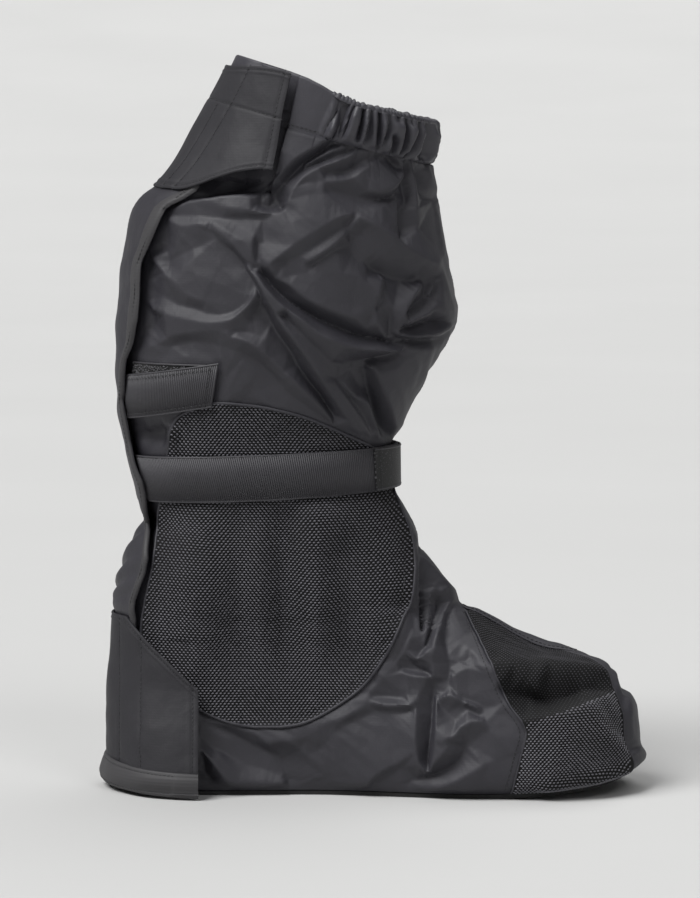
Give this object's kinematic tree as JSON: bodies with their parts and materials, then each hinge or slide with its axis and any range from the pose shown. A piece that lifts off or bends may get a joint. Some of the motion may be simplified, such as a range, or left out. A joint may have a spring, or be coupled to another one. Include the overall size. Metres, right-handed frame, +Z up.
{
  "type": "rain overshoe",
  "caption": "Tall rain overshoe of coated nylon with an elastic collar, a rear closing flap, an ankle strap, woven guards at the ankle and toe, and a thin rubber sole.",
  "frame": {"origin": "centre of the bounding box, on the floor plane the sole stands on", "axes": "+X to the toe, +Z up, and -Y to the inner side with the strap and guards"},
  "size_m": [0.3028, 0.1241, 0.403],
  "materials": {
    "coated_nylon": "satin black coating over a fine plain weave",
    "woven_guard": "coarse black basket weave",
    "webbing": "ribbed black webbing",
    "pile_tape": "matt black looped pile",
    "sole_rubber": "matt black moulded rubber"
  },
  "bodies": {
    "root": {"sole": "sole_rubber", "upper": "coated_nylon", "collar_casing": "coated_nylon", "side_panel": "woven_guard", "toe_panel": "woven_guard", "vamp_binding": "coated_nylon", "back_placket": "coated_nylon", "top_flap": "coated_nylon", "heel_flap": "coated_nylon", "heel_hem": "coated_nylon", "ankle_strap": "webbing", "strap_pile_tape": "pile_tape", "closing_tab": "webbing", "tab_pile_patch": "pile_tape"}
  },
  "joints": []
}
